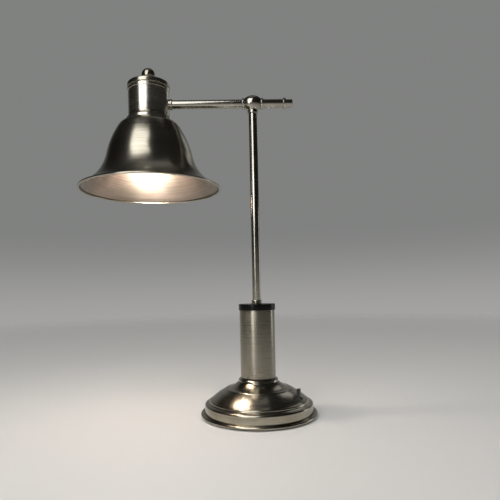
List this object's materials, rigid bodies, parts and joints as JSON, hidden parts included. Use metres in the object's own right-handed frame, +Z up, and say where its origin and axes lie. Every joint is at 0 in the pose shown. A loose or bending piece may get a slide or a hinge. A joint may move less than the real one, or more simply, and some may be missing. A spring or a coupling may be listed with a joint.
{
  "type": "table lamp",
  "caption": "Table lamp: flared metal bell shade hung from a level arm on a slim swivelling stem, over a short column and a round, stepped, weighted base.",
  "frame": {"origin": "on the table, under the centre of the base, on the stem's axis", "axes": "+Z up, -X from the stem along the arm to the head, +Y to the back, where the cord inlet is"},
  "size_m": [0.3231, 0.1948, 0.4853],
  "materials": {
    "nickel": "antique nickel, brushed along the turning",
    "nickel_polished": "antique nickel, polished satin",
    "steel": "zinc plated",
    "iron": "as cast, painted dark",
    "felt": "black felt",
    "black": "glossy black",
    "black_matte": "satin black",
    "bushing": "natural nylon",
    "brass": "plain",
    "holder": "moulded black",
    "bulb_glass": "clear to pearl, lit",
    "bulb_cap": "rolled, bright",
    "lead": "insulated lead"
  },
  "bodies": {
    "base": {"base_shell": "nickel", "base_felt": "felt", "base_weight": "iron", "centre_rod": "steel", "rod_washer": "steel", "rod_nut": "steel", "column_seat": "black", "column_tube": "nickel", "column_cap": "black", "swivel_housing": "steel", "rod_coupler": "steel", "switch_body": "black_matte", "switch_screws": "steel", "cord_grommet": "black_matte", "riser_lead": "lead"},
    "switch": {"switch_lever": "black_matte"},
    "stem": {"swivel_spindle": "steel", "swivel_washer": "steel", "swivel_nut": "steel", "stem_lower_bead": "nickel_polished", "stem_tube": "nickel_polished", "stem_upper_bead": "nickel_polished", "tee_ball": "nickel_polished", "arm_bushes": "bushing", "stem_lead": "lead"},
    "arm_head": {"arm_tube": "nickel_polished", "arm_collars": "nickel_polished", "arm_end_bead": "nickel_polished", "arm_end_cap": "nickel_polished", "arm_cup_bead": "nickel_polished", "arm_saddle": "nickel_polished", "arm_nut": "steel", "arm_lead": "lead", "cup": "nickel", "cup_lid": "nickel", "finial": "nickel_polished", "head_nipple": "steel", "nipple_nuts": "steel", "lampholder": "holder", "socket_shell": "brass", "socket_contact": "brass", "shade_ring": "holder", "shade": "nickel", "bulb_glass": "bulb_glass", "bulb_cap": "bulb_cap"}
  },
  "joints": [
    {"name": "stem_swivel", "type": "hinge", "parent": "base", "child": "stem", "pos_m": [0, 0, 0.1547], "axis": [0, 0, 1], "range_deg": [-170, 170]},
    {"name": "arm_roll", "type": "hinge", "parent": "stem", "child": "arm_head", "pos_m": [0, 0, 0.4344], "axis": [1, 0, 0], "range_deg": [-75, 75]},
    {"name": "switch_toggle", "type": "hinge", "parent": "base", "child": "switch", "pos_m": [0.05212, -0.02656, 0.02355], "axis": [0.454, 0.891, 0], "range_deg": [0, 25]}
  ]
}
